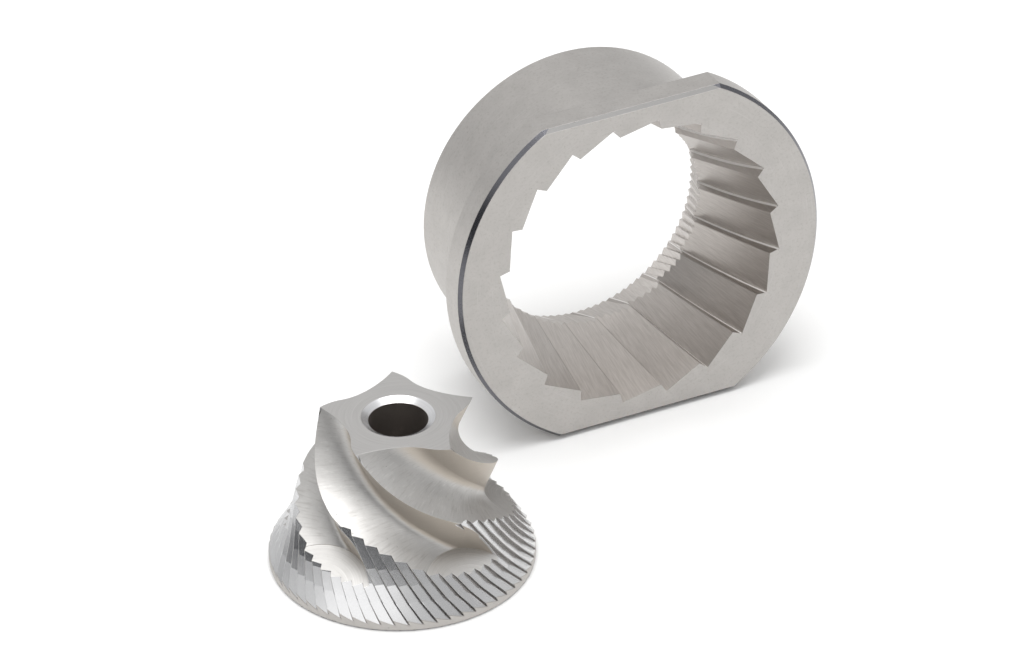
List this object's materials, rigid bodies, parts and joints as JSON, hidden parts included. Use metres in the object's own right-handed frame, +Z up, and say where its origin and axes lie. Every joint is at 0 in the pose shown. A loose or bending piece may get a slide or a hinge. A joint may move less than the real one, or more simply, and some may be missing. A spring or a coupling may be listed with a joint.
{
  "type": "conical burr set",
  "caption": "Conical coffee-grinding burr set: a flanged ring burr with sawtooth grooves inside, and a fluted cone burr with a finely toothed skirt that turns inside it.",
  "frame": {"origin": "on the table under the middle of the pair's bounding box", "axes": "+Z up; +X from the cone burr towards the ring burr; the ring's toothed intake face looks along -Y, leaning back 4.4 degrees"},
  "size_m": [0.1116, 0.0733, 0.0595],
  "materials": {
    "ring_steel": "satin turned tool steel",
    "cone_steel": "bright milled tool steel"
  },
  "bodies": {
    "ring": {"ring_burr": "ring_steel"},
    "cone": {"cone_burr": "cone_steel"}
  },
  "joints": [
    {"name": "cone_spin", "type": "hinge", "parent": "ring", "child": "cone", "pos_m": [-0.0334, -0.0142, 0], "axis": [0, 0, 1], "continuous": true}
  ]
}
